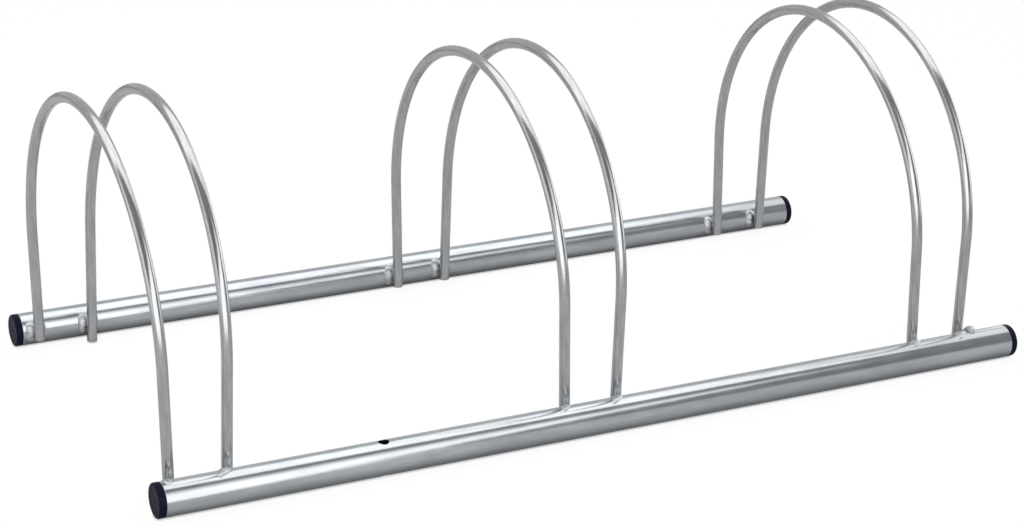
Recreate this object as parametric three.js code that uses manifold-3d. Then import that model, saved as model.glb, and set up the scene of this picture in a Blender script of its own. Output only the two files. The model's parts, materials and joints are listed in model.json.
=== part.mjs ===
// Floor rack for bicycles. Two round tube rails lie on the floor, and pairs of bent rod hoops are welded
// upright between them, so that a wheel stands in the slot between the two hoops of a pair.
// Millimetres, +Z up. The rails run along X, the front rail is on the -Y side, and the origin is on the
// floor at the middle of the rack.
import * as THREE from 'three';
import { mergeVertices } from 'three/addons/utils/BufferGeometryUtils.js';
import Module from 'manifold-3d';

const wasm = await Module();
wasm.setup();

// Rails
const railSpacing = 330; // between the centre lines of the two rails
const railDiameter = 25;
const railWall = 1.5;

// Fixing hole, drilled upright through the front rail
const fixingHoleDiameter = 8;
const fixingHoleFromEnd = 168; // from the left end of the rack

// End caps: a head outside the tube and a finned, cup-shaped plug inside it
const capHeadThickness = 5;
const capEdgeRadius = 1.4;
const capFloorThickness = 2.5;
const capPlugLength = 14;
const capPlugWall = 1.6;
const capFinHeight = 0.9;
const capFinPitch = 4;
const capFinCount = 2;

// Hoops
const rodDiameter = 8;
const springHeight = 93; // where the straight legs pass into the arch
const pairCount = 3;
const pairPitch = 302;
const leftMargin = 37.5; // from the left end of the rack to the middle of the first pair
const rightMargin = 58.5; // from the middle of the last pair to the right end
const pairGap = 42; // between the two rods of a pair, centre to centre, where they cross the rails
const pairSplay = 1.3; // degrees that each hoop leans away from its partner
const frontLegEnd = 5; // height of the cut ends above the floor
const rearLegEnds = [8.5, 1, 5.5, 5.5, 7, 7]; // cut by hand, so each hoop has its own

// Weld beads, one on each flank of a leg. A bead is laid round the rail, so its two ends are angles: 0 faces
// the leg, and 90 is the top of the rail. Curl draws its upper end towards the leg, or away from it below 0
const beadWidth = 8.8;
const beadHeight = 7;
const beadInset = 1.2; // depth of the bead's centre line under the rail's surface
const beadOffset = 1.5; // distance of that line from the flank of the rod
const curlPower = 2.5; // the higher, the later in its run a bead curls
const ripplePitch = 3.8;
const rippleDepth = 0.35;
const beadVariation = 0.07; // how much one bead may differ from the next
const frontLeftBead = { start: -38, end: 106, curl: -0.5, growth: 0.97, lift: -0.1 }; // runs over the rail
const frontRightBead = { start: -34, end: 52, curl: 0, growth: 0.85, lift: 0 };
const rearLeftBead = { start: -36, end: 47, curl: 0, growth: 1, lift: 0 };
const rearRightBead = { start: -36, end: 44, curl: 0, growth: 0.75, lift: 0 };
const heavyBead = { start: 0, end: 100, curl: 0.3, growth: 1.2, lift: 1.6 }; // the welder stayed longer here
const heavyBeadName = 'weld_front_6_right';

// Play between two pieces that touch on the finished rack
const seatGap = 0.3;

// Facets
const railSides = 32;
const rodSides = 10;
const hoopSteps = 40;
const holeSides = 16;
const edgeSteps = 3;
const beadSides = 8;

const rackLength = leftMargin + (pairCount - 1) * pairPitch + rightMargin; // over the caps' outer faces
const leftEnd = -rackLength / 2;
const railRadius = railDiameter / 2;
const boreRadius = railRadius - railWall;
const railLength = rackLength - 2 * (capHeadThickness + seatGap);
const railAxisHeight = railRadius * Math.cos(Math.PI / railSides); // a flat of the tube lies on the floor
const rodRadius = rodDiameter / 2;
const legOffset = railRadius + seatGap + rodRadius; // rail's centre line to leg's centre line
const archRadius = railSpacing / 2 - legOffset;

const zincTube = { color: 0xc9ced3, roughness: 0.24, metalness: 1 };
const zincRod = { color: 0x9b9da0, roughness: 0.38, metalness: 1 };
const zincWeld = { color: 0xb9bdc0, roughness: 0.42, metalness: 1 };
const darkPlastic = { color: 0x1b2030, roughness: 0.45, metalness: 0 };

// A closed geometry as a solid that can be joined and cut
function solidFrom(geometry) {
  const bare = new THREE.BufferGeometry();
  bare.setAttribute('position', geometry.getAttribute('position'));
  bare.setIndex(geometry.index);
  const merged = mergeVertices(bare);
  const corners = merged.index.array;
  const kept = [];
  for (let i = 0; i < corners.length; i += 3) {
    const [a, b, c] = [corners[i], corners[i + 1], corners[i + 2]];
    const collapsed = a === b || b === c || c === a;
    if (!collapsed) kept.push(a, b, c);
  }
  const vertProperties = merged.getAttribute('position').array;
  return new wasm.Manifold(new wasm.Mesh({ numProp: 3, vertProperties, triVerts: new Uint32Array(kept) }));
}

function geometryFrom(solid) {
  const { vertProperties, triVerts } = solid.getMesh();
  const geometry = new THREE.BufferGeometry();
  geometry.setAttribute('position', new THREE.BufferAttribute(vertProperties, 3));
  geometry.setIndex(new THREE.BufferAttribute(triVerts, 1));
  geometry.computeVertexNormals();
  return geometry;
}

function namedMesh(name, geometry, finish) {
  const mesh = new THREE.Mesh(geometry, new THREE.MeshStandardMaterial(finish));
  mesh.name = name;
  return mesh;
}

// Round outline whose first flat is centred on angle 0
function roundOutline(target, radius, sides) {
  const start = Math.PI / sides;
  target.absarc(0, 0, radius, start, start + 2 * Math.PI, false);
  return target;
}

function railGeometry() {
  const section = roundOutline(new THREE.Shape(), railRadius, railSides);
  section.holes.push(roundOutline(new THREE.Path(), boreRadius, railSides));
  const options = { depth: railLength, steps: 1, bevelEnabled: false, curveSegments: railSides / 2 };
  const tube = new THREE.ExtrudeGeometry(section, options);
  tube.translate(0, 0, -railLength / 2);
  tube.rotateY(Math.PI / 2);
  return tube;
}

function drilledRailGeometry() {
  const radius = fixingHoleDiameter / 2;
  const drill = new THREE.CylinderGeometry(radius, radius, 2 * railDiameter, holeSides);
  drill.rotateX(Math.PI / 2);
  drill.translate(leftEnd + fixingHoleFromEnd, 0, 0);
  return geometryFrom(solidFrom(railGeometry()).subtract(solidFrom(drill)));
}

// Half section of an end cap: x is the radius, y runs from the outer face into the tube
function capProfile() {
  const finRadius = boreRadius - seatGap;
  const plugRadius = finRadius - capFinHeight;
  const cupRadius = plugRadius - capPlugWall;
  const plugEnd = capHeadThickness + capPlugLength;
  const points = [new THREE.Vector2(0, 0)];
  for (let i = 0; i <= edgeSteps; i += 1) {
    const turn = (i / edgeSteps) * (Math.PI / 2);
    const radius = railRadius - capEdgeRadius * (1 - Math.sin(turn));
    points.push(new THREE.Vector2(radius, capEdgeRadius * (1 - Math.cos(turn))));
  }
  points.push(new THREE.Vector2(railRadius, capHeadThickness));
  points.push(new THREE.Vector2(plugRadius, capHeadThickness));
  for (let i = 1; i <= capFinCount; i += 1) {
    const fin = capHeadThickness + i * capFinPitch;
    points.push(new THREE.Vector2(plugRadius, fin - capFinHeight));
    points.push(new THREE.Vector2(finRadius, fin));
    points.push(new THREE.Vector2(plugRadius, fin + capFinHeight));
  }
  points.push(new THREE.Vector2(plugRadius, plugEnd));
  points.push(new THREE.Vector2(cupRadius, plugEnd));
  points.push(new THREE.Vector2(cupRadius, capFloorThickness));
  points.push(new THREE.Vector2(0, capFloorThickness));
  return points;
}

// The cap's outer face looks along -X
function capGeometry() {
  const cap = new THREE.LatheGeometry(capProfile(), railSides, Math.PI / railSides);
  cap.rotateZ(-Math.PI / 2);
  return geometryFrom(solidFrom(cap));
}

// Centre line of a hoop in the YZ plane: front leg up, half circle over, rear leg down
class HoopLine extends THREE.Curve {
  constructor(frontEnd, rearEnd) {
    super();
    this.frontEnd = frontEnd;
    this.frontLeg = springHeight - frontEnd;
    this.rearLeg = springHeight - rearEnd;
    this.arch = Math.PI * archRadius;
  }

  getPoint(t, target = new THREE.Vector3()) {
    const run = t * (this.frontLeg + this.arch + this.rearLeg);
    const overArch = run - this.frontLeg;
    if (overArch <= 0) return target.set(0, -archRadius, this.frontEnd + run);
    if (overArch >= this.arch) return target.set(0, archRadius, springHeight - (overArch - this.arch));
    const angle = overArch / archRadius;
    return target.set(0, -archRadius * Math.cos(angle), springHeight + archRadius * Math.sin(angle));
  }
}

function hoopGeometry(rearEnd) {
  const section = roundOutline(new THREE.Shape(), rodRadius, rodSides);
  const extrudePath = new HoopLine(frontLegEnd, rearEnd);
  const options = { steps: hoopSteps, bevelEnabled: false, curveSegments: rodSides / 2, extrudePath };
  return new THREE.ExtrudeGeometry(section, options);
}

// A straight bead with a ring for each ripple. It is 2 units long, from -1 to 1 along Z
function spindleGeometry(bead) {
  const width = beadWidth * bead.growth;
  const height = beadHeight * bead.growth;
  const length = THREE.MathUtils.degToRad(bead.end - bead.start) * railRadius;
  const rings = 2 * Math.round(length / ripplePitch);
  const points = [new THREE.Vector2(0, -1)];
  for (let i = 0; i <= rings; i += 1) {
    const along = ((i + 0.5) / (rings + 1)) * 2 - 1;
    const fullness = Math.sqrt(1 - along * along);
    const ripple = i % 2 === 0 ? 0 : rippleDepth;
    points.push(new THREE.Vector2((width / 2) * fullness - ripple, along));
  }
  points.push(new THREE.Vector2(0, 1));
  const spindle = new THREE.LatheGeometry(points, beadSides);
  spindle.rotateX(Math.PI / 2);
  spindle.scale(1, height / width, 1);
  return spindle;
}

// Lays a straight bead round the rail, and lets its upper end curl towards the leg or away from it
function layRoundRail(spindle, side, bead) {
  const offset = side * (rodRadius + beadOffset) * bead.growth;
  const points = spindle.getAttribute('position');
  for (let i = 0; i < points.count; i += 1) {
    const along = points.getZ(i);
    const angle = THREE.MathUtils.degToRad(bead.start + (bead.end - bead.start) * ((along + 1) / 2));
    const x = points.getX(i) + offset * (1 - bead.curl * Math.max(along, 0) ** curlPower);
    const radius = railRadius - beadInset + bead.lift + points.getY(i);
    points.setXYZ(i, x, radius * Math.cos(angle), radius * Math.sin(angle));
  }
  return spindle;
}

// One bead in the frame of its joint: the rail's centre line is the X axis, the leg stands on the +Y side
// and leans by tilt, and side is -1 or 1 for the flank that the bead is on
function beadGeometry(side, tilt, bead) {
  const reach = 4 * railDiameter;
  const rod = new THREE.CylinderGeometry(rodRadius + seatGap, rodRadius + seatGap, reach, 2 * rodSides);
  rod.rotateX(Math.PI / 2);
  rod.translate(0, legOffset, 0);
  const rail = new THREE.CylinderGeometry(railRadius + seatGap, railRadius + seatGap, reach, railSides);
  rail.rotateZ(Math.PI / 2);
  const laid = layRoundRail(spindleGeometry(bead), side, bead);
  const leaning = solidFrom(laid.rotateY(tilt)).subtract(solidFrom(rod.rotateY(tilt)));
  return geometryFrom(leaning.subtract(solidFrom(rail)));
}

// The same small differences every time, from the bead's place in the row
function variedBead(bead, order) {
  return { ...bead, growth: bead.growth * (1 + beadVariation * Math.sin(order * order)) };
}

const rack = new THREE.Group();
const rails = [
  { place: 'front', y: -railSpacing / 2, facing: 0, left: frontLeftBead, right: frontRightBead },
  { place: 'rear', y: railSpacing / 2, facing: Math.PI, left: rearLeftBead, right: rearRightBead },
];

for (const { place, y } of rails) {
  const geometry = place === 'front' ? drilledRailGeometry() : railGeometry();
  const rail = namedMesh(`${place}_rail`, geometry, zincTube);
  rail.position.set(0, y, railAxisHeight);
  rack.add(rail);
}

for (const { place, y } of rails) {
  for (const [end, turn] of [['left', 0], ['right', Math.PI]]) {
    const cap = namedMesh(`cap_${place}_${end}`, capGeometry(), darkPlastic);
    const x = turn === 0 ? leftEnd : -leftEnd;
    cap.position.set(x, y, railAxisHeight);
    cap.rotation.z = turn;
    rack.add(cap);
  }
}

for (let i = 0; i < 2 * pairCount; i += 1) {
  const pair = Math.floor(i / 2);
  const lean = i % 2 === 0 ? -1 : 1;
  const x = leftEnd + leftMargin + pair * pairPitch + (lean * pairGap) / 2;
  const tilt = lean * THREE.MathUtils.degToRad(pairSplay);

  const leaning = new THREE.Group();
  leaning.position.set(x, 0, railAxisHeight);
  leaning.rotation.y = tilt;
  const hoop = namedMesh(`hoop_${i + 1}`, hoopGeometry(rearLegEnds[i % rearLegEnds.length]), zincRod);
  hoop.position.z = -railAxisHeight;
  leaning.add(hoop);
  rack.add(leaning);

  for (const { place, y, facing, left, right } of rails) {
    const joint = new THREE.Group();
    joint.position.set(x, y, railAxisHeight);
    joint.rotation.z = facing;
    const mirror = Math.cos(facing); // the rear joints are turned to face the front ones
    for (const [flank, side, bead] of [['left', -1, left], ['right', 1, right]]) {
      const name = `weld_${place}_${i + 1}_${flank}`;
      const laid = name === heavyBeadName ? heavyBead : variedBead(bead, rack.children.length + side);
      joint.add(namedMesh(name, beadGeometry(side * mirror, tilt * mirror, laid), zincWeld));
    }
    rack.add(joint);
  }
}

export default rack;
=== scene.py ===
"""Floor rack for bicycles: two zinc plated tube rails, six rod hoops welded between them, four end caps."""

import json
import math
import random
from collections import namedtuple
from itertools import product

import bmesh
import bpy
from mathutils import Matrix, Vector, noise


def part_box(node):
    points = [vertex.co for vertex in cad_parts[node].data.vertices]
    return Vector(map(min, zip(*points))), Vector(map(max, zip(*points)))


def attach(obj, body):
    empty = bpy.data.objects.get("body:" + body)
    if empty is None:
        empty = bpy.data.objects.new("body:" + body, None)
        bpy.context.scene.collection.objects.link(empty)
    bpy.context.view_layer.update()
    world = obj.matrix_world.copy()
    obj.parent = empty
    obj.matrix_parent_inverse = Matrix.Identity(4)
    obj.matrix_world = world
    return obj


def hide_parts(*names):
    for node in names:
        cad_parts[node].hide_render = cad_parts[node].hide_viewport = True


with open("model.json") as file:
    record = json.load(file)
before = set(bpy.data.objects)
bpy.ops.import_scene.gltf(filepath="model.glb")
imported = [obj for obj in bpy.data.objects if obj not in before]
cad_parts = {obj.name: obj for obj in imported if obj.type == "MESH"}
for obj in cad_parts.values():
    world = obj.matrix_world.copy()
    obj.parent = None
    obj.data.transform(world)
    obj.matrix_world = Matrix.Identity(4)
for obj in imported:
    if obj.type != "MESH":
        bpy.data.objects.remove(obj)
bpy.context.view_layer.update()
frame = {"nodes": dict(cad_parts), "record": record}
MM = 0.001

# ---------------------------------------------------------------------------------------------------------
# Camera: it stands two metres from the rack, to the left of its middle and above it, and looks down along
# the rails with a long lens. It is turned a degree about its own axis, as the photographer held it.
# ---------------------------------------------------------------------------------------------------------
CAMERA_AZIMUTH = math.radians(-26.722)
CAMERA_ELEVATION = math.radians(20.724)
CAMERA_ROLL = math.radians(1.083)
CAMERA_DISTANCE = 2.0
CAMERA_LENS = 93.68
CAMERA_SENSOR = 36.0
CAMERA_REACH = 50.0
LOOK_AT = Vector((-21.68, -39.57, 90.29)) * MM

towards_camera = Vector((
    math.sin(CAMERA_AZIMUTH) * math.cos(CAMERA_ELEVATION),
    -math.cos(CAMERA_AZIMUTH) * math.cos(CAMERA_ELEVATION),
    math.sin(CAMERA_ELEVATION),
))
level_right = Vector((0, 0, 1)).cross(towards_camera).normalized()
level_up = towards_camera.cross(level_right)
camera_right = level_right * math.cos(CAMERA_ROLL) + level_up * math.sin(CAMERA_ROLL)
camera_up = level_up * math.cos(CAMERA_ROLL) - level_right * math.sin(CAMERA_ROLL)

lens = bpy.data.cameras.new("camera")
lens.lens = CAMERA_LENS
lens.sensor_width = CAMERA_SENSOR
lens.clip_end = CAMERA_REACH
camera = bpy.data.objects.new("camera", lens)
turned = Matrix((camera_right, camera_up, towards_camera)).transposed().to_4x4()
camera.matrix_world = Matrix.Translation(LOOK_AT + towards_camera * CAMERA_DISTANCE) @ turned
bpy.context.scene.collection.objects.link(camera)
bpy.context.scene.camera = camera
bpy.context.scene.view_settings.view_transform = "Standard"

# ---------------------------------------------------------------------------------------------------------
# Rails: two lengths of drawn steel tube, sawn square, deburred and zinc plated. They lie on the floor, and
# the front one is drilled upright through both walls, near its left end, for a floor screw.
# ---------------------------------------------------------------------------------------------------------
RAIL_WALL = 1.5 * MM
RAIL_SIDES = 96
DEBURR = 0.25 * MM
HOLE_RADIUS = 4 * MM
HOLE_PATCH = 8  # half width, in grid steps, of the square patch of the wall that holds the hole
HOLE_RINGS = 5
SHARP = math.radians(32)  # an edge that turns by more than this stays sharp

ZINC_SHADE = (0.495, 0.53, 0.56, 1)
ZINC_LIGHT = (0.61, 0.648, 0.66, 1)
ZINC_VIOLET = (0.56, 0.54, 0.6, 1)
ZINC_SCUFFED = (0.74, 0.75, 0.76, 1)
ZINC_ROUGHNESS = 0.13
LOW_SHADE_COLOUR = (0.2, 0.2, 0.21, 1)
LOW_SHADE_HEIGHT = 15 * MM  # painted shade: the zinc's colour is darkened below this height above the floor, as the shaded floor that it would reflect
LOW_SHADE_SHARE = 0.4
CONTACT_SHADE_COLOUR = (0.06, 0.06, 0.065, 1)
CONTACT_SHADE_HEIGHT = 4 * MM  # painted contact shadow: darker still where the tube meets the floor
CONTACT_SHADE_SHARE = 0.55

# Relief of the tube: the slow sway and ripple of its drawn wall, then its draw lines and the cloudy zinc
TUBE_SWAY = 0.13 * MM
TUBE_RIPPLE = 0.035 * MM
TUBE_LINES = 0.0022 * MM
TUBE_CLOUDS = 0.014 * MM


class Wired:
    """An output socket of a node tree. Arithmetic written on it adds the Math nodes."""

    def __init__(self, bench, socket):
        self.bench = bench
        self.socket = socket

    def output(self, name):
        """Another output of the same node."""
        return Wired(self.bench, self.socket.node.outputs[name])

    def __add__(self, other):
        return self.bench.math("ADD", self, other)

    def __radd__(self, other):
        return self.bench.math("ADD", other, self)

    def __sub__(self, other):
        return self.bench.math("SUBTRACT", self, other)

    def __rsub__(self, other):
        return self.bench.math("SUBTRACT", other, self)

    def __mul__(self, other):
        return self.bench.math("MULTIPLY", self, other)

    def __rmul__(self, other):
        return self.bench.math("MULTIPLY", other, self)

    def __truediv__(self, other):
        return self.bench.math("DIVIDE", self, other)

    def __rtruediv__(self, other):
        return self.bench.math("DIVIDE", other, self)


class Bench:
    """A node tree being put together, for a finish or for a shape."""

    def __init__(self, tree):
        self.tree = tree
        tree.nodes.clear()

    def node(self, kind, settings=None, inputs=None, output=0):
        """A new node, its settings made first, its inputs then filled or wired. Gives back one output."""
        made = self.tree.nodes.new(kind)
        for name, value in (settings or {}).items():
            setattr(made, name, value)
        for name, value in (inputs or {}).items():
            if isinstance(value, Wired):
                self.tree.links.new(value.socket, made.inputs[name])
            else:
                made.inputs[name].default_value = value
        return Wired(self, made.outputs[output]) if len(made.outputs) else None

    def math(self, operation, *values):
        return self.node("ShaderNodeMath", {"operation": operation}, dict(enumerate(values)))

    def spread(self, value, low, high, to_low=0.0, to_high=1.0):
        """value between low and high, laid out from to_low to to_high."""
        ends = {"Value": value, "From Min": low, "From Max": high, "To Min": to_low, "To Max": to_high}
        return self.node("ShaderNodeMapRange", {"interpolation_type": "SMOOTHSTEP"}, ends)

    def blend(self, share, first, second):
        """One colour over another, by a share from 0 to 1."""
        return self.node("ShaderNodeMix", {"data_type": "RGBA"}, {0: share, 6: first, 7: second}, 2)

    def grain(self, place, scale, detail=3.0, roughness=0.5):
        """Noise from 0 to 1, its cells 1 / scale long on each axis, in metres."""
        stretched = self.node("ShaderNodeVectorMath", {"operation": "MULTIPLY"}, {0: place, 1: scale})
        settings = {"Vector": stretched, "Scale": 1.0, "Detail": detail, "Roughness": roughness}
        return self.node("ShaderNodeTexNoise", {}, settings)


class Finish(Bench):
    """A procedural material on the piece's own coordinates."""

    def __init__(self, name):
        self.material = bpy.data.materials.new(name)
        self.material.use_nodes = True
        super().__init__(self.material.node_tree)
        self.place = self.node("ShaderNodeTexCoord", output="Object")

    def surface(self, colour, roughness, height, constants):
        """The finished surface, raised by height in metres. The constants are the same all over."""
        relief = self.node("ShaderNodeBump", {}, {"Strength": 1.0, "Distance": 1.0, "Height": height})
        varying = {"Base Color": colour, "Roughness": roughness, "Normal": relief}
        shader = self.node("ShaderNodeBsdfPrincipled", {}, {**constants, **varying})
        self.node("ShaderNodeOutputMaterial", {}, {"Surface": shader})
        return self.material


def tube_finish():
    """Zinc over drawn steel, with its grain along the tube, and shade painted into its colour low down,
    darkest where it meets the floor.
    """
    finish = Finish("zinc_tube")
    draw_lines = finish.grain(finish.place, (9, 1500, 1500), 4, 0.6)
    cloudy = finish.grain(finish.place, (22, 150, 150), 3, 0.55)
    tint = finish.grain(finish.place, (6, 70, 70), 2)
    sway = finish.grain(finish.place, (14, 55, 55), 2)
    ripple = finish.grain(finish.place, (60, 90, 90), 2, 0.6)
    scuff = finish.spread(finish.grain(finish.place, (60, 900, 900), 3, 0.7), 0.6, 0.78)
    cool = finish.blend(finish.spread(cloudy, 0.3, 0.7), ZINC_SHADE, ZINC_LIGHT)
    tinted = finish.blend(finish.spread(tint, 0.45, 0.8) * 0.5, cool, ZINC_VIOLET)
    scuffed = finish.blend(scuff * 0.35, tinted, ZINC_SCUFFED)
    height_above_floor = finish.node("ShaderNodeSeparateXYZ", {}, {0: finish.place}).output("Z")
    # painted shade: the colour darkens towards the floor
    painted_low_shade = finish.spread(height_above_floor, LOW_SHADE_HEIGHT, 0.0) * LOW_SHADE_SHARE
    # painted contact shadow: darkest within a few millimetres of the floor
    painted_contact_shade = finish.spread(height_above_floor, CONTACT_SHADE_HEIGHT, 0.0) * CONTACT_SHADE_SHARE
    colour = finish.blend(painted_contact_shade, finish.blend(painted_low_shade, scuffed, LOW_SHADE_COLOUR), CONTACT_SHADE_COLOUR)
    roughness = ZINC_ROUGHNESS + 0.07 * cloudy + 0.12 * scuff + 0.06 * draw_lines
    drawn = sway * TUBE_SWAY + ripple * TUBE_RIPPLE + draw_lines * TUBE_LINES
    height = drawn + cloudy * TUBE_CLOUDS
    return finish.surface(colour, roughness, height, {"Metallic": 1.0})


def finished_piece(name, bm, material, node):
    """A closed mesh as a piece of the rack that stands for a CAD node, smooth but for its sharp edges."""
    bm.normal_update()
    for face in bm.faces:
        face.smooth = True
    for edge in bm.edges:
        edge.smooth = edge.calc_face_angle(0) < SHARP
    mesh = bpy.data.meshes.new(name)
    bm.to_mesh(mesh)
    bm.free()
    mesh.materials.append(material)
    piece = bpy.data.objects.new(name, mesh)
    bpy.context.scene.collection.objects.link(piece)
    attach(piece, "root")
    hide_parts(node)


def strip(bm, first, second):
    """Quads between two closed rows of vertices. With the rows swapped they face the other way."""
    count = len(first)
    for j in range(count):
        k = (j + 1) % count
        bm.faces.new((first[j], second[j], second[k], first[k]))


class Tube:
    """The wall of a rail, built ring by ring about its own centre line."""

    def __init__(self, node):
        low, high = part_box(node)
        self.bm = bmesh.new()
        self.ends = (low.x, high.x)
        self.middle = (low + high) / 2
        self.radius = (high.z - low.z) / 2

    def vertex(self, x, angle, radius):
        y = self.middle.y + radius * math.cos(angle)
        return self.bm.verts.new((x, y, self.middle.z + radius * math.sin(angle)))

    def ring(self, x, radius):
        return [self.vertex(x, 2 * math.pi * j / RAIL_SIDES, radius) for j in range(RAIL_SIDES)]


def patch_border():
    """Grid steps round the border of the hole's patch, anticlockwise seen with X to the right."""
    n = HOLE_PATCH
    right = [(n, b) for b in range(-n, n)]
    top = [(a, n) for a in range(n, -n, -1)]
    left = [(-n, b) for b in range(n, -n, -1)]
    bottom = [(a, -n) for a in range(-n, n)]
    return right + top + left + bottom


def wall_with_holes(tube, radius, stations, hole_x, outward):
    """One skin of the wall. A square patch is left out round each hole and filled in up to the hole's rim.

    Gives back the two end rings and the rims of the holes.
    """
    rings = [tube.ring(x, radius) for x in stations]
    middle = None
    centres = []
    if hole_x is not None:
        middle = min(range(len(stations)), key=lambda i: abs(stations[i] - hole_x))
        centres = [RAIL_SIDES // 4, 3 * RAIL_SIDES // 4]  # on top of the tube and under it
    for i in range(len(rings) - 1):
        in_reach = middle is not None and middle - HOLE_PATCH <= i < middle + HOLE_PATCH
        for j in range(RAIL_SIDES):
            if in_reach and any(c - HOLE_PATCH <= j < c + HOLE_PATCH for c in centres):
                continue
            k = (j + 1) % RAIL_SIDES
            face = [rings[i][j], rings[i][k], rings[i + 1][k], rings[i + 1][j]]
            tube.bm.faces.new(face if outward else face[::-1])
    rims = []
    for centre in centres:
        border = patch_border()
        rows = [[rings[middle + a][(centre + b) % RAIL_SIDES] for a, b in border]]
        upright = centre * 2 * math.pi / RAIL_SIDES
        for ring in range(1, HOLE_RINGS + 1):
            share = ring / HOLE_RINGS
            row = []
            for a, b in border:
                turn = math.atan2(b, a)
                start = (stations[middle + a] - hole_x, b * 2 * math.pi / RAIL_SIDES)
                end = (HOLE_RADIUS * math.cos(turn), math.asin(HOLE_RADIUS * math.sin(turn) / radius))
                x = start[0] + (end[0] - start[0]) * share
                angle = start[1] + (end[1] - start[1]) * share
                row.append(tube.vertex(hole_x + x, upright + angle, radius))
            rows.append(row)
        for first, second in zip(rows, rows[1:]):
            strip(tube.bm, *((first, second) if outward else (second, first)))
        rims.append(rows[-1])
    return rings[0], rings[-1], rims


def rail_piece(name, node, material, hole_x=None):
    tube = Tube(node)
    step = 2 * math.pi * tube.radius / RAIL_SIDES
    left, right = tube.ends
    stations = [left + DEBURR, right - DEBURR]
    if hole_x is not None:
        stations[1:1] = [hole_x + a * step for a in range(-HOLE_PATCH, HOLE_PATCH + 1)]
    outer = wall_with_holes(tube, tube.radius, stations, hole_x, True)
    inner = wall_with_holes(tube, tube.radius - RAIL_WALL, stations, hole_x, False)
    for side, x in ((0, left), (1, right)):
        shell = [outer[side], tube.ring(x, tube.radius - DEBURR)]
        shell += [tube.ring(x, tube.radius - RAIL_WALL + DEBURR), inner[side]]
        for first, second in zip(shell, shell[1:]):
            strip(tube.bm, *((second, first) if side else (first, second)))
    for outer_rim, inner_rim in zip(outer[2], inner[2]):
        strip(tube.bm, outer_rim, inner_rim)
    finished_piece(name, tube.bm, material, node)


def opening_middle(name):
    """Middle of one of the frame's named openings."""
    found = next(o for o in frame["record"]["physics"]["openings"] if o["name"] == name)
    low, high = (Vector(corner) for corner in found["box_m"])
    return (low + high) / 2


zinc_tube = tube_finish()
rail_piece("rail_front", "front_rail", zinc_tube, opening_middle("fixing_hole").x)
rail_piece("rail_rear", "rear_rail", zinc_tube)

# ---------------------------------------------------------------------------------------------------------
# End caps: moulded in dark plastic, each with a round head outside the tube and a cup-shaped plug with two
# fins that is knocked into it. The face has a rounded rim and the small sunk mark of the mould's gate.
# ---------------------------------------------------------------------------------------------------------
CAP_HEAD = 5 * MM
CAP_EDGE = 1.4 * MM
CAP_EDGE_STEPS = 8
CAP_BACK_EDGE = 0.2 * MM
CAP_FLOOR = 2.5 * MM
CAP_PLUG_LENGTH = 14 * MM
CAP_PLUG_WALL = 1.6 * MM
CAP_FIN_HEIGHT = 0.9 * MM
CAP_FIN_PITCH = 4 * MM
CAP_FINS = 2
CAP_PLAY = 0.3 * MM
CAP_SINK = 0.35 * MM  # how far the face falls from its rim to its middle
CAP_FACE_RINGS = (0.35, 0.6, 0.8, 0.92)  # shares of the face's radius
CAP_FACE_POWER = 4  # the higher, the flatter the face is up to near its rim
GATE_RADIUS = 1.3 * MM
GATE_FLOOR = 0.8  # share of the gate mark's radius that is flat
GATE_DEPTH = 0.3 * MM
CAP_COLOUR = (0.006, 0.008, 0.022, 1)
CAP_RUBBED = (0.016, 0.02, 0.04, 1)
CAP_SHINE = 0.06
CAP_GRAIN = 0.012 * MM
CAP_CLOUDS = 0.03 * MM


def plastic_finish():
    finish = Finish("cap_plastic")
    grain = finish.grain(finish.place, (2600, 2600, 2600), 2)
    cloud = finish.grain(finish.place, (160, 160, 160), 3)
    rub = finish.spread(finish.grain(finish.place, (500, 90, 90), 3, 0.7), 0.58, 0.75)
    colour = finish.blend(rub * 0.5, CAP_COLOUR, CAP_RUBBED)
    roughness = 0.36 + 0.12 * cloud + 0.14 * rub
    height = grain * CAP_GRAIN + cloud * CAP_CLOUDS
    return finish.surface(colour, roughness, height, {"Specular IOR Level": CAP_SHINE})


def cap_profile(radius):
    """Half section of a cap as (radius, depth), from the middle of its outer face to the plug's floor."""
    fin_radius = radius - RAIL_WALL - CAP_PLAY
    plug_radius = fin_radius - CAP_FIN_HEIGHT
    plug_end = CAP_HEAD + CAP_PLUG_LENGTH
    face_edge = radius - CAP_EDGE
    gate_floor = CAP_SINK + GATE_DEPTH
    points = [(0, gate_floor), (GATE_RADIUS * GATE_FLOOR, gate_floor), (GATE_RADIUS, CAP_SINK)]
    for share in CAP_FACE_RINGS:
        points.append((face_edge * share, CAP_SINK * (1 - share ** CAP_FACE_POWER)))
    for step in range(CAP_EDGE_STEPS + 1):
        turn = step / CAP_EDGE_STEPS * math.pi / 2
        points.append((face_edge + CAP_EDGE * math.sin(turn), CAP_EDGE * (1 - math.cos(turn))))
    points += [(radius, CAP_HEAD - CAP_BACK_EDGE), (radius - CAP_BACK_EDGE, CAP_HEAD)]
    points.append((plug_radius, CAP_HEAD))
    for fin in range(1, CAP_FINS + 1):
        depth = CAP_HEAD + fin * CAP_FIN_PITCH
        points.append((plug_radius, depth - CAP_FIN_HEIGHT))
        points.append((fin_radius, depth))
        points.append((plug_radius, depth + CAP_FIN_HEIGHT))
    points += [(plug_radius, plug_end), (plug_radius - CAP_PLUG_WALL, plug_end)]
    points += [(plug_radius - CAP_PLUG_WALL, CAP_FLOOR), (0, CAP_FLOOR)]
    return points


def closed_skin(bm, rows):
    """Faces over rows of vertices, the first and the last of which are single points."""
    for first, second in zip(rows[1:-1], rows[2:-1]):
        strip(bm, first, second)
    count = len(rows[1])
    for j in range(count):
        k = (j + 1) % count
        bm.faces.new((rows[0][0], rows[1][j], rows[1][k]))
        bm.faces.new((rows[-1][0], rows[-2][k], rows[-2][j]))


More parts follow.
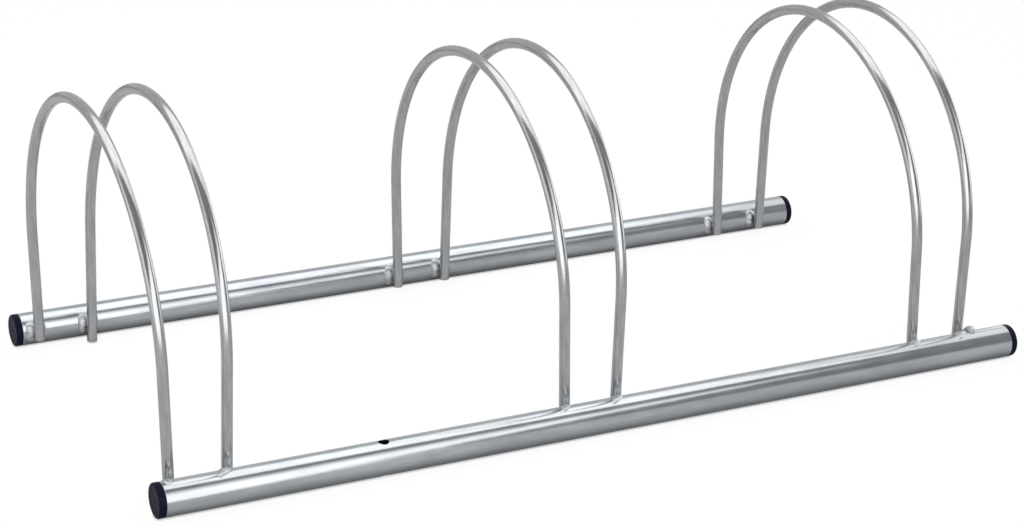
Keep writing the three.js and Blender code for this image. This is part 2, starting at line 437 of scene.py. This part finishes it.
def cap_piece(name, node, side, material):
    """side is -1 for a cap on the left end and 1 on the right, the way that its face looks."""
    low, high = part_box(node)
    middle = (low + high) / 2
    face_x = high.x if side > 0 else low.x
    bm = bmesh.new()
    rows = []
    for radius, depth in cap_profile((high.z - low.z) / 2):
        x = face_x - side * depth
        angles = [side * 2 * math.pi * j / RAIL_SIDES for j in range(RAIL_SIDES if radius else 1)]
        spots = [(x, middle.y + radius * math.cos(a), middle.z + radius * math.sin(a)) for a in angles]
        rows.append([bm.verts.new(spot) for spot in spots])
    closed_skin(bm, rows)
    finished_piece(name, bm, material, node)


cap_plastic = plastic_finish()
for place in ("front", "rear"):
    for end, side in (("left", -1), ("right", 1)):
        cap_piece(f"end_cap_{place}_{end}", f"cap_{place}_{end}", side, cap_plastic)

# ---------------------------------------------------------------------------------------------------------
# Hoops: each is one length of 8 mm steel rod, bent in a former to two straight legs and a half circle, cut
# off by hand and zinc plated satin. The two of a pair lean a little away from each other.
# ---------------------------------------------------------------------------------------------------------
ROD_DIAMETER = 8 * MM
ROD_SIDES = 28
HOOP_STEPS = 170
SPRING_HEIGHT = 93 * MM  # where the straight legs end and the half circle starts
HOOP_LEAN = math.radians(1.3)
CUT_EDGE = 0.5 * MM  # how much the sharp edge of a cut end is rounded
CUT_EDGE_STEPS = 3
CUT_EDGE_ANGLE = math.radians(60)  # no edge that turns by less is rounded
ROD_SHADE = (0.44, 0.45, 0.46, 1)
ROD_LIGHT = (0.56, 0.565, 0.57, 1)
ROD_SCUFFED = (0.68, 0.68, 0.68, 1)
ROD_ROUGHNESS = 0.12
ROD_CLOUDS = 0.005 * MM
ROD_LINES = 0.001 * MM


def rod_finish():
    """Satin zinc, with its grain along the rod: the attribute rod_place unrolls the bent rod."""
    finish = Finish("zinc_rod")
    rod_place = finish.node("ShaderNodeAttribute", {"attribute_name": "rod_place"}, output="Vector")
    draw_lines = finish.grain(rod_place, (12, 2200, 2200), 4, 0.6)
    cloudy = finish.grain(rod_place, (45, 260, 260), 3, 0.6)
    scuff = finish.spread(finish.grain(rod_place, (260, 1100, 1100), 3, 0.65), 0.6, 0.76)
    grey = finish.blend(finish.spread(cloudy, 0.3, 0.7), ROD_SHADE, ROD_LIGHT)
    colour = finish.blend(scuff * 0.4, grey, ROD_SCUFFED)
    roughness = ROD_ROUGHNESS + 0.06 * cloudy + 0.1 * scuff + 0.05 * draw_lines
    height = cloudy * ROD_CLOUDS + draw_lines * ROD_LINES
    return finish.surface(colour, roughness, height, {"Metallic": 1.0})


def hoop_tree(material):
    """A rod swept along two legs and a half circle. The tree's inputs are the sizes of one hoop."""
    tree = bpy.data.node_groups.new("bent_hoop", "GeometryNodeTree")
    tree.interface.new_socket("Geometry", in_out="INPUT", socket_type="NodeSocketGeometry")
    tree.interface.new_socket("Geometry", in_out="OUTPUT", socket_type="NodeSocketGeometry")
    sizes = ("Rod Diameter", "Arch Radius", "Spring Height", "Front End", "Rear End")
    sizes += ("Lean", "Foot X", "Foot Z")
    for size in sizes:
        tree.interface.new_socket(size, in_out="INPUT", socket_type="NodeSocketFloat")
    bench = Bench(tree)
    entry = bench.node("NodeGroupInput")
    given = {size: entry.output(size) for size in sizes}
    front_leg = given["Spring Height"] - given["Front End"]
    rear_leg = given["Spring Height"] - given["Rear End"]
    arch = given["Arch Radius"] * math.pi

    share = bench.node("GeometryNodeSplineParameter", output="Factor")
    run = share * (front_leg + arch + rear_leg)
    over_arch = run - front_leg
    bend = bench.node("ShaderNodeClamp", {}, {"Value": over_arch, "Min": 0.0, "Max": arch})
    angle = bend / given["Arch Radius"]
    below_front = bench.math("MINIMUM", over_arch, 0.0)
    below_rear = bench.math("MAXIMUM", over_arch - arch, 0.0)
    y = given["Arch Radius"] * bench.math("COSINE", angle) * -1.0
    rise = given["Arch Radius"] * bench.math("SINE", angle)
    z = given["Spring Height"] + rise + below_front - below_rear
    spot = bench.node("ShaderNodeCombineXYZ", {}, {"X": 0.0, "Y": y, "Z": z - given["Foot Z"]})

    line = bench.node("GeometryNodeCurvePrimitiveLine")
    counted = bench.node("GeometryNodeResampleCurve", {}, {"Curve": line, "Count": HOOP_STEPS})
    bent = bench.node("GeometryNodeSetPosition", {}, {"Geometry": counted, "Position": spot})
    upright = {"Curve": bent, "Normal": (1.0, 0.0, 0.0)}
    axis = bench.node("GeometryNodeSetCurveNormal", {"mode": "FREE"}, upright)
    along = {"Geometry": axis, "Name": "along", "Value": run}
    marked = bench.node("GeometryNodeStoreNamedAttribute", {"data_type": "FLOAT"}, along)

    circle = {"Resolution": ROD_SIDES, "Radius": given["Rod Diameter"] * 0.5}
    section = bench.node("GeometryNodeCurvePrimitiveCircle", {}, circle)
    here = bench.node("GeometryNodeInputPosition")
    around = {"Geometry": section, "Name": "around", "Value": here}
    rolled = bench.node("GeometryNodeStoreNamedAttribute", {"data_type": "FLOAT_VECTOR"}, around)
    sweep = {"Curve": marked, "Profile Curve": rolled, "Fill Caps": True}
    rod = bench.node("GeometryNodeCurveToMesh", {}, sweep)

    length = bench.node("GeometryNodeInputNamedAttribute", {"data_type": "FLOAT"}, {"Name": "along"})
    rim = bench.node("GeometryNodeInputNamedAttribute", {"data_type": "FLOAT_VECTOR"}, {"Name": "around"})
    across = bench.node("ShaderNodeSeparateXYZ", {}, {0: rim})
    unrolled = {"X": length, "Y": across.output("X"), "Z": across.output("Y")}
    straight = bench.node("ShaderNodeCombineXYZ", {}, unrolled)
    stored = {"Geometry": rod, "Name": "rod_place", "Value": straight}
    placed = bench.node("GeometryNodeStoreNamedAttribute", {"data_type": "FLOAT_VECTOR"}, stored)

    turn = bench.node("ShaderNodeCombineXYZ", {}, {"X": 0.0, "Y": given["Lean"], "Z": 0.0})
    foot = bench.node("ShaderNodeCombineXYZ", {}, {"X": given["Foot X"], "Y": 0.0, "Z": given["Foot Z"]})
    lean = {"Geometry": placed, "Translation": foot, "Rotation": turn}
    standing = bench.node("GeometryNodeTransform", {}, lean)
    whole = bench.node("GeometryNodeRealizeInstances", {}, {"Geometry": standing})
    plated = bench.node("GeometryNodeSetMaterial", {}, {"Geometry": whole, "Material": material})
    bench.node("NodeGroupOutput", {}, {"Geometry": plated})
    return tree


def leg_end(node, side):
    """Height of the cut end of a CAD hoop's front leg, side -1, or its rear leg, side 1."""
    return min(v.co.z for v in frame["nodes"][node].data.vertices if v.co.y * side > 0)


def foot_of(node, lean):
    """Where a hoop's leaning middle line passes the height of the rails' middles, as x and z."""
    low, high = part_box(node)
    rail_low, rail_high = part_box("front_rail")
    foot_z = (rail_low.z + rail_high.z) / 2
    foot_x = (low.x + high.x) / 2 - ((low.z + high.z) / 2 - foot_z) * math.tan(lean)
    return foot_x, foot_z


def hoop_piece(name, node, lean, tree):
    low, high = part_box(node)
    foot_x, foot_z = foot_of(node, lean)
    sizes = {
        "Rod Diameter": ROD_DIAMETER,
        "Arch Radius": (high.y - low.y - ROD_DIAMETER) / 2,
        "Spring Height": SPRING_HEIGHT,
        "Front End": leg_end(node, -1),
        "Rear End": leg_end(node, 1),
        "Lean": lean,
        "Foot X": foot_x,
        "Foot Z": foot_z,
    }
    blank = bpy.data.objects.new(name + "_blank", bpy.data.meshes.new(name + "_blank"))
    bpy.context.scene.collection.objects.link(blank)
    bender = blank.modifiers.new("bender", "NODES")
    bender.node_group = tree
    for item in tree.interface.items_tree:
        if item.name in sizes:
            bender[item.identifier] = sizes[item.name]
    deburr = blank.modifiers.new("deburr", "BEVEL")
    deburr.width = CUT_EDGE
    deburr.segments = CUT_EDGE_STEPS
    deburr.limit_method = "ANGLE"
    deburr.angle_limit = CUT_EDGE_ANGLE
    depsgraph = bpy.context.evaluated_depsgraph_get()
    mesh = bpy.data.meshes.new_from_object(blank.evaluated_get(depsgraph))
    bpy.data.objects.remove(blank)
    bm = bmesh.new()
    bm.from_mesh(mesh)
    finished_piece(name, bm, mesh.materials[0], node)


bent_hoop = hoop_tree(rod_finish())
hoops = sorted(name for name in frame["nodes"] if name.startswith("hoop_"))
leans = {hoop: HOOP_LEAN if order % 2 else -HOOP_LEAN for order, hoop in enumerate(hoops)}
for hoop in hoops:
    hoop_piece(f"bent_{hoop}", hoop, leans[hoop], bent_hoop)

# ---------------------------------------------------------------------------------------------------------
# Weld beads: one on each flank of a leg, laid round the rail in the groove between rod and tube before the
# rack was plated. They are steel under zinc, rippled where the pool froze in steps, and close to a point at
# each end.
# ---------------------------------------------------------------------------------------------------------
BEAD_ROUND = 28
BEAD_LONG = 72
BEAD_BLUNTNESS = 4  # the higher, the longer a bead stays full towards its ends
RIPPLE_PITCH = 1.15 * MM
RIPPLE_DEPTH = 0.16 * MM
RIPPLE_BOW = 1.1 * MM  # how far the middle of a ripple runs ahead of its ends
BEAD_LUMPS = 0.42 * MM
LUMP_SIZE = 3.2 * MM
LUMP_FIELD = 50  # half width, in lumps, of the noise that the beads are drawn from
LUMP_SEED = 1  # without a seed Blender's noise follows the clock, and the lumps change from run to run
CURL_POWER = 2.5
WELD_SHADE = (0.48, 0.49, 0.5, 1)
WELD_LIGHT = (0.64, 0.66, 0.67, 1)
WELD_ROUGHNESS = 0.26
WELD_CRYSTALS = 0.05 * MM
WELD_PATCHES = 0.06 * MM

# start and end are degrees round the rail, 0 at the leg and 90 on top of the rail. offset is how far the
# bead's centre line lies beside the leg's. A curl above 0 draws the upper end towards the leg, and one
# below 0 draws it away. inset is how deep the centre line lies under the rail's skin.
Bead = namedtuple("Bead", "start end curl offset width height inset")
BEADS = {
    ("front", "left"): Bead(-38, 124, -1.9, 5.2 * MM, 11.0 * MM, 5.5 * MM, 1.6 * MM),
    ("front", "right"): Bead(-34, 52, 0, 4.7 * MM, 8.0 * MM, 6.2 * MM, 1.6 * MM),
    ("rear", "left"): Bead(-36, 47, 0, 5.3 * MM, 9.4 * MM, 7.4 * MM, 1.6 * MM),
    ("rear", "right"): Bead(-36, 44, 0, 4.1 * MM, 7.2 * MM, 5.8 * MM, 1.6 * MM),
}
ODD_BEADS = {  # the two that differ from the rest of their row
    "weld_front_1_left": Bead(-38, 118, -0.4, 5.0 * MM, 9.6 * MM, 5.5 * MM, 1.6 * MM),  # next to the cap
    "weld_front_6_right": Bead(0, 98, 0.6, 4.2 * MM, 8.6 * MM, 8.0 * MM, 0.0),  # a heavy one
}


def weld_finish():
    finish = Finish("zinc_weld")
    crystals = finish.grain(finish.place, (900, 900, 900), 4, 0.65)
    patches = finish.grain(finish.place, (260, 260, 260), 3)
    colour = finish.blend(finish.spread(patches, 0.35, 0.65), WELD_SHADE, WELD_LIGHT)
    roughness = WELD_ROUGHNESS + 0.16 * patches + 0.08 * crystals
    height = crystals * WELD_CRYSTALS + patches * WELD_PATCHES
    return finish.surface(colour, roughness, height, {"Metallic": 1.0})


def bead_piece(name, node, joint, side, bead, seed, material):
    """A bead in the joint's own frame: the rail is its X axis, the leg stands on the +Y side.

    side is -1 or 1 and picks the flank of the leg.
    """
    draws = random.Random(seed)
    shift = Vector([draws.uniform(-LUMP_FIELD, LUMP_FIELD) for _ in range(3)])
    length = math.radians(bead.end - bead.start) * joint.radius
    bm = bmesh.new()
    rows = []
    for i in range(BEAD_LONG + 1):
        along = -math.cos(math.pi * i / BEAD_LONG)
        fullness = math.sqrt(max(0.0, 1 - along ** BEAD_BLUNTNESS))
        angle = math.radians(bead.start + (bead.end - bead.start) * (along + 1) / 2)
        centre = side * bead.offset * (1 - bead.curl * max(along, 0) ** CURL_POWER)
        row = []
        for j in range(1 if i in (0, BEAD_LONG) else BEAD_ROUND):
            turn = 2 * math.pi * j / BEAD_ROUND
            out = math.sin(turn)
            phase = (along * length / 2 + RIPPLE_BOW * out) / RIPPLE_PITCH
            ripple = RIPPLE_DEPTH * (0.5 - 0.5 * math.cos(2 * math.pi * phase)) ** 2
            x = math.cos(turn) * (bead.width / 2 - ripple) * fullness
            radius = joint.radius - bead.inset + out * (bead.height / 2 - ripple) * fullness
            spot = Vector((centre + x, radius * math.cos(angle), radius * math.sin(angle)))
            lump = noise.noise_vector(spot / LUMP_SIZE + shift) * (BEAD_LUMPS * fullness)
            row.append(bm.verts.new(joint.to_world @ (spot + lump)))
        rows.append(row)
    closed_skin(bm, rows)
    bmesh.ops.recalc_face_normals(bm, faces=bm.faces)
    finished_piece(name, bm, material, node)


class Joint:
    """Where a hoop's leg crosses a rail, with the way from the joint's own frame to the rack's."""

    def __init__(self, place, hoop, lean):
        low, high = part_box(f"{place}_rail")
        at_front = place == "front"
        self.radius = (high.z - low.z) / 2
        self.mirror = 1 if at_front else -1
        middle = Vector((foot_of(hoop, lean)[0], (low.y + high.y) / 2, (low.z + high.z) / 2))
        turned_round = Matrix.Rotation(0 if at_front else math.pi, 4, "Z")
        self.to_world = Matrix.Translation(middle) @ Matrix.Rotation(lean, 4, "Y") @ turned_round


noise.seed_set(LUMP_SEED)
zinc_weld = weld_finish()
flanks = {"left": -1, "right": 1}
for seed, (hoop, place, flank) in enumerate(product(hoops, ("front", "rear"), flanks)):
    node = f"weld_{hoop.replace('hoop', place)}_{flank}"
    bead = ODD_BEADS.get(node, BEADS[place, flank])
    joint = Joint(place, hoop, leans[hoop])
    side = flanks[flank] * joint.mirror
    bead_piece(node.replace("weld", "bead"), node, joint, side, bead, seed, zinc_weld)

# ---------------------------------------------------------------------------------------------------------
# Studio: a plain pale floor, with soft white panels overhead, in front and at both sides, and dark cloths
# hung before and between them. The camera sees none of the sheets, and the zinc shows them all. The cloths
# and the side panels give the rack no light of their own.
# ---------------------------------------------------------------------------------------------------------
WHITE = (1, 1, 1, 1)
AMBIENT_LEVEL = 0.55
BACKDROP_COLOUR = (0.98, 0.99, 1, 1)
BACKDROP_LEVEL = 0.62
PANEL_LEVEL = 1.68
TALL_LEVEL = 1.85
SIDE_LEVEL = 1.1
CLOTH_LEVEL = 0.26
STRIP_LEVEL = 0.28

# A fade is the axis that it runs along, where it starts and ends, and the share of the light that is left
TALL_FADE = ("Z", 0.7, 1.7, 0.1)
WIDE_FADE = ("X", 0.85, 1.3, 0.65)

SHEETS_LEFT = -2.2  # the sheets in front and overhead end here on the left
PANEL_HEIGHT = 1.5
OVERHEAD_RIGHT = 2.6
OVERHEAD_BACK = 1.3
FRONT_FOOT = -1.5  # y at which the slanting plane in front meets the floor
SHEET_GAP = 0.01  # from one sheet on the slanting plane to the next
STRIP_FRONT = -0.85  # the dark strip lies between the front panel and the overhead one
STRIP_BACK = -0.33
STRIP_DROP = 0.005
STRIP_TURN = 0.1  # left of this x the strip widens towards the back, up to STRIP_BACK_LEFT
STRIP_BACK_LEFT = 0.6
CLOTH_LEFT = 0.36
CLOTH_RIGHT = 3.4
CLOTH_FOOT = 0.28

# Right edge of the front panel and lower edge of the left cloth, as (x, height)
TALL_EDGE = [(0.094, 0.0), (0.2, 0.17), (0.375, 0.57), (0.604, 0.84), (0.78, 0.95), (0.962, 1.1)]
TALL_EDGE += [(1.18, PANEL_HEIGHT)]
LEFT_CLOTH_EDGE = [(SHEETS_LEFT, 0.2), (-1.6, 0.55), (-0.04, 0.95)]

# The side panels stand on the floor at these x, and reach from y to y
RIGHT_PANEL_X = 1.6
RIGHT_PANEL_Y = (-0.9, 1.6)
RIGHT_PANEL_HEIGHT = 0.95
LEFT_PANEL_X = -2.0
LEFT_PANEL_Y = (-0.9, 0.9)
LEFT_PANEL_HEIGHT = 1.1


def glow(name, level, fade=None):
    """A sheet that gives off white light, even all over or with a fade."""
    finish = Finish(name)
    strength = level
    if fade:
        axis, start, end, least = fade
        place = finish.node("ShaderNodeSeparateXYZ", {}, {0: finish.place}).output(axis)
        strength = level * finish.spread(place, start, end, 1.0, least)
    emission = finish.node("ShaderNodeEmission", {}, {"Color": WHITE, "Strength": strength})
    finish.node("ShaderNodeOutputMaterial", {}, {"Surface": emission})
    return finish.material


def flat_sheet(name, corners, material):
    mesh = bpy.data.meshes.new(name)
    mesh.from_pydata(corners, [], [tuple(range(len(corners)))])
    mesh.materials.append(material)
    sheet = bpy.data.objects.new(name, mesh)
    bpy.context.scene.collection.objects.link(sheet)
    return sheet


def hang(name, corners, material, light=True):
    """A sheet that the camera doesn't see. Without light it only shows in the zinc."""
    sheet = flat_sheet(name, corners, material)
    sheet.visible_camera = False
    sheet.visible_diffuse = light
    sheet.visible_shadow = False


def rectangle(left, right, near, far):
    return [(left, near), (right, near), (right, far), (left, far)]


def on_slant(spots, layer):
    """(x, height) pairs on the plane that slants from the floor in front up to the dark strip."""
    rise = (STRIP_FRONT - FRONT_FOOT) / PANEL_HEIGHT
    return [(x, FRONT_FOOT + rise * height + layer * SHEET_GAP, height) for x, height in spots]


overhead = rectangle(SHEETS_LEFT, OVERHEAD_RIGHT, STRIP_BACK, OVERHEAD_BACK)
panel_wide = glow("panel_wide", PANEL_LEVEL, WIDE_FADE)
hang("panel_overhead", [(x, y, PANEL_HEIGHT) for x, y in overhead], panel_wide)

tall = [(SHEETS_LEFT, 0.0)] + TALL_EDGE + [(SHEETS_LEFT, PANEL_HEIGHT)]
hang("panel_front", on_slant(tall, 1), glow("panel_tall", TALL_LEVEL, TALL_FADE))

right_side = rectangle(*RIGHT_PANEL_Y, 0, RIGHT_PANEL_HEIGHT)
panel_white = glow("panel_white", PANEL_LEVEL)
hang("panel_right", [(RIGHT_PANEL_X, y, z) for y, z in right_side], panel_white, light=False)

left_side = rectangle(*LEFT_PANEL_Y, 0, LEFT_PANEL_HEIGHT)
panel_left = glow("panel_left", SIDE_LEVEL)
hang("panel_left", [(LEFT_PANEL_X, y, z) for y, z in left_side], panel_left, light=False)

strip_corners = [(SHEETS_LEFT, STRIP_FRONT), (CLOTH_RIGHT, STRIP_FRONT), (CLOTH_RIGHT, STRIP_BACK)]
strip_corners += [(STRIP_TURN, STRIP_BACK), (SHEETS_LEFT, STRIP_BACK_LEFT)]
strip_dark = glow("strip_dark", STRIP_LEVEL)
strip_height = PANEL_HEIGHT - STRIP_DROP
hang("cloth_overhead", [(x, y, strip_height) for x, y in strip_corners], strip_dark, light=False)

cloth_dark = glow("cloth_dark", CLOTH_LEVEL)
right_cloth = rectangle(CLOTH_LEFT, CLOTH_RIGHT, CLOTH_FOOT, PANEL_HEIGHT)
hang("cloth_front", on_slant(right_cloth, 0), cloth_dark, light=False)
left_cloth = LEFT_CLOTH_EDGE + [(LEFT_CLOTH_EDGE[-1][0], PANEL_HEIGHT), (SHEETS_LEFT, PANEL_HEIGHT)]
hang("cloth_left", on_slant(left_cloth, 2), cloth_dark, light=False)

FLOOR_HALF = 9.0
FLOOR_COLOUR = (0.56, 0.56, 0.565, 1)
FLOOR_SHADING = 0.07  # how much of the floor's own light and shade the camera sees in its white
CONTACT = 1.6 * MM  # the floor's white, as the camera sees it, is painted darker this near to the rails, as a contact shadow
PAINTED_SHADOW_LEVEL = 0.5
CONTACT_SAMPLES = 8


def floor_finish():
    """Pale to the metal and to the light, white to the eye apart from a faint shadow and a shadow painted
    along the rails.
    """
    finish = Finish("floor")
    path = finish.node("ShaderNodeLightPath", output="Is Camera Ray")
    lit = finish.node("ShaderNodeBsdfDiffuse", {}, {"Color": FLOOR_COLOUR})
    shaded = finish.node("ShaderNodeBsdfDiffuse", {}, {"Color": WHITE})
    sampled = {"samples": CONTACT_SAMPLES}
    clear = finish.node("ShaderNodeAmbientOcclusion", sampled, {"Distance": CONTACT}).output("AO")
    # painted contact shadow: the white emission is dimmed where the rails are close
    level = PAINTED_SHADOW_LEVEL + (1 - PAINTED_SHADOW_LEVEL) * clear
    white = finish.node("ShaderNodeEmission", {}, {"Color": WHITE, "Strength": level})
    eye = finish.node("ShaderNodeMixShader", {}, {0: FLOOR_SHADING, 1: white, 2: shaded})
    seen = finish.node("ShaderNodeMixShader", {}, {0: path, 1: lit, 2: eye})
    finish.node("ShaderNodeOutputMaterial", {}, {"Surface": seen})
    return finish.material


ground = rectangle(-FLOOR_HALF, FLOOR_HALF, -FLOOR_HALF, FLOOR_HALF)
floor = flat_sheet("floor", [(x, y, 0) for x, y in ground], floor_finish())

world = bpy.data.worlds.new("studio")
bpy.context.scene.world = world
world.use_nodes = True
room = Bench(world.node_tree)


def sky(colour, level):
    return room.node("ShaderNodeBackground", {}, {"Color": colour, "Strength": level})


camera_ray = room.node("ShaderNodeLightPath", output="Is Camera Ray")
glossy_ray = camera_ray.output("Is Glossy Ray")
ambient = sky(WHITE, AMBIENT_LEVEL)
backdrop = sky(BACKDROP_COLOUR, BACKDROP_LEVEL)
unseen = room.node("ShaderNodeMixShader", {}, {0: glossy_ray, 1: ambient, 2: backdrop})
whole_sky = room.node("ShaderNodeMixShader", {}, {0: camera_ray, 1: unseen, 2: sky(WHITE, 1.0)})
room.node("ShaderNodeOutputWorld", {}, {"Surface": whole_sky})
